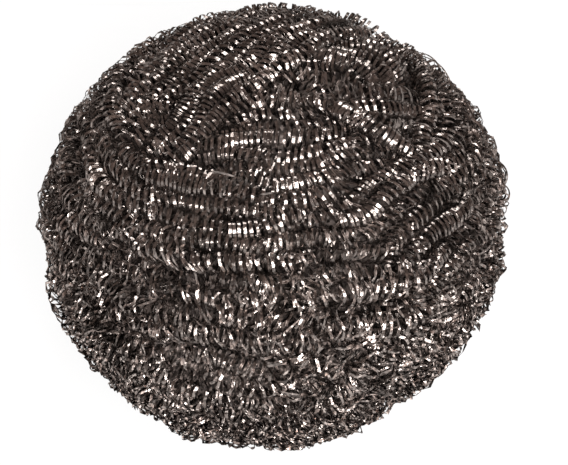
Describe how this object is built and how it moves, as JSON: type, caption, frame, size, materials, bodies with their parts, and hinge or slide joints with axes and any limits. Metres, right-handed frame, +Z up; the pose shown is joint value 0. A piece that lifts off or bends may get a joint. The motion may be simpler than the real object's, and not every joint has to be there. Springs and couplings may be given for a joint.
{
  "type": "spiral metal scourer",
  "caption": "Plump, flattened ball of coiled stainless steel ribbon, wound in belts of laps that cross each other, for scouring pans by hand.",
  "frame": {"origin": "on the surface that the ball stands on, under the middle of its bounding box", "axes": "+Z up, along the short way through the ball; +Y away from the viewer of the reference view and +X to the viewer's right"},
  "size_m": [0.0994, 0.0996, 0.0737],
  "materials": {
    "stainless_ribbon": "bright, cold-rolled ribbon, warm grey"
  },
  "bodies": {
    "root": {"coiled_strand": "stainless_ribbon"}
  },
  "joints": []
}
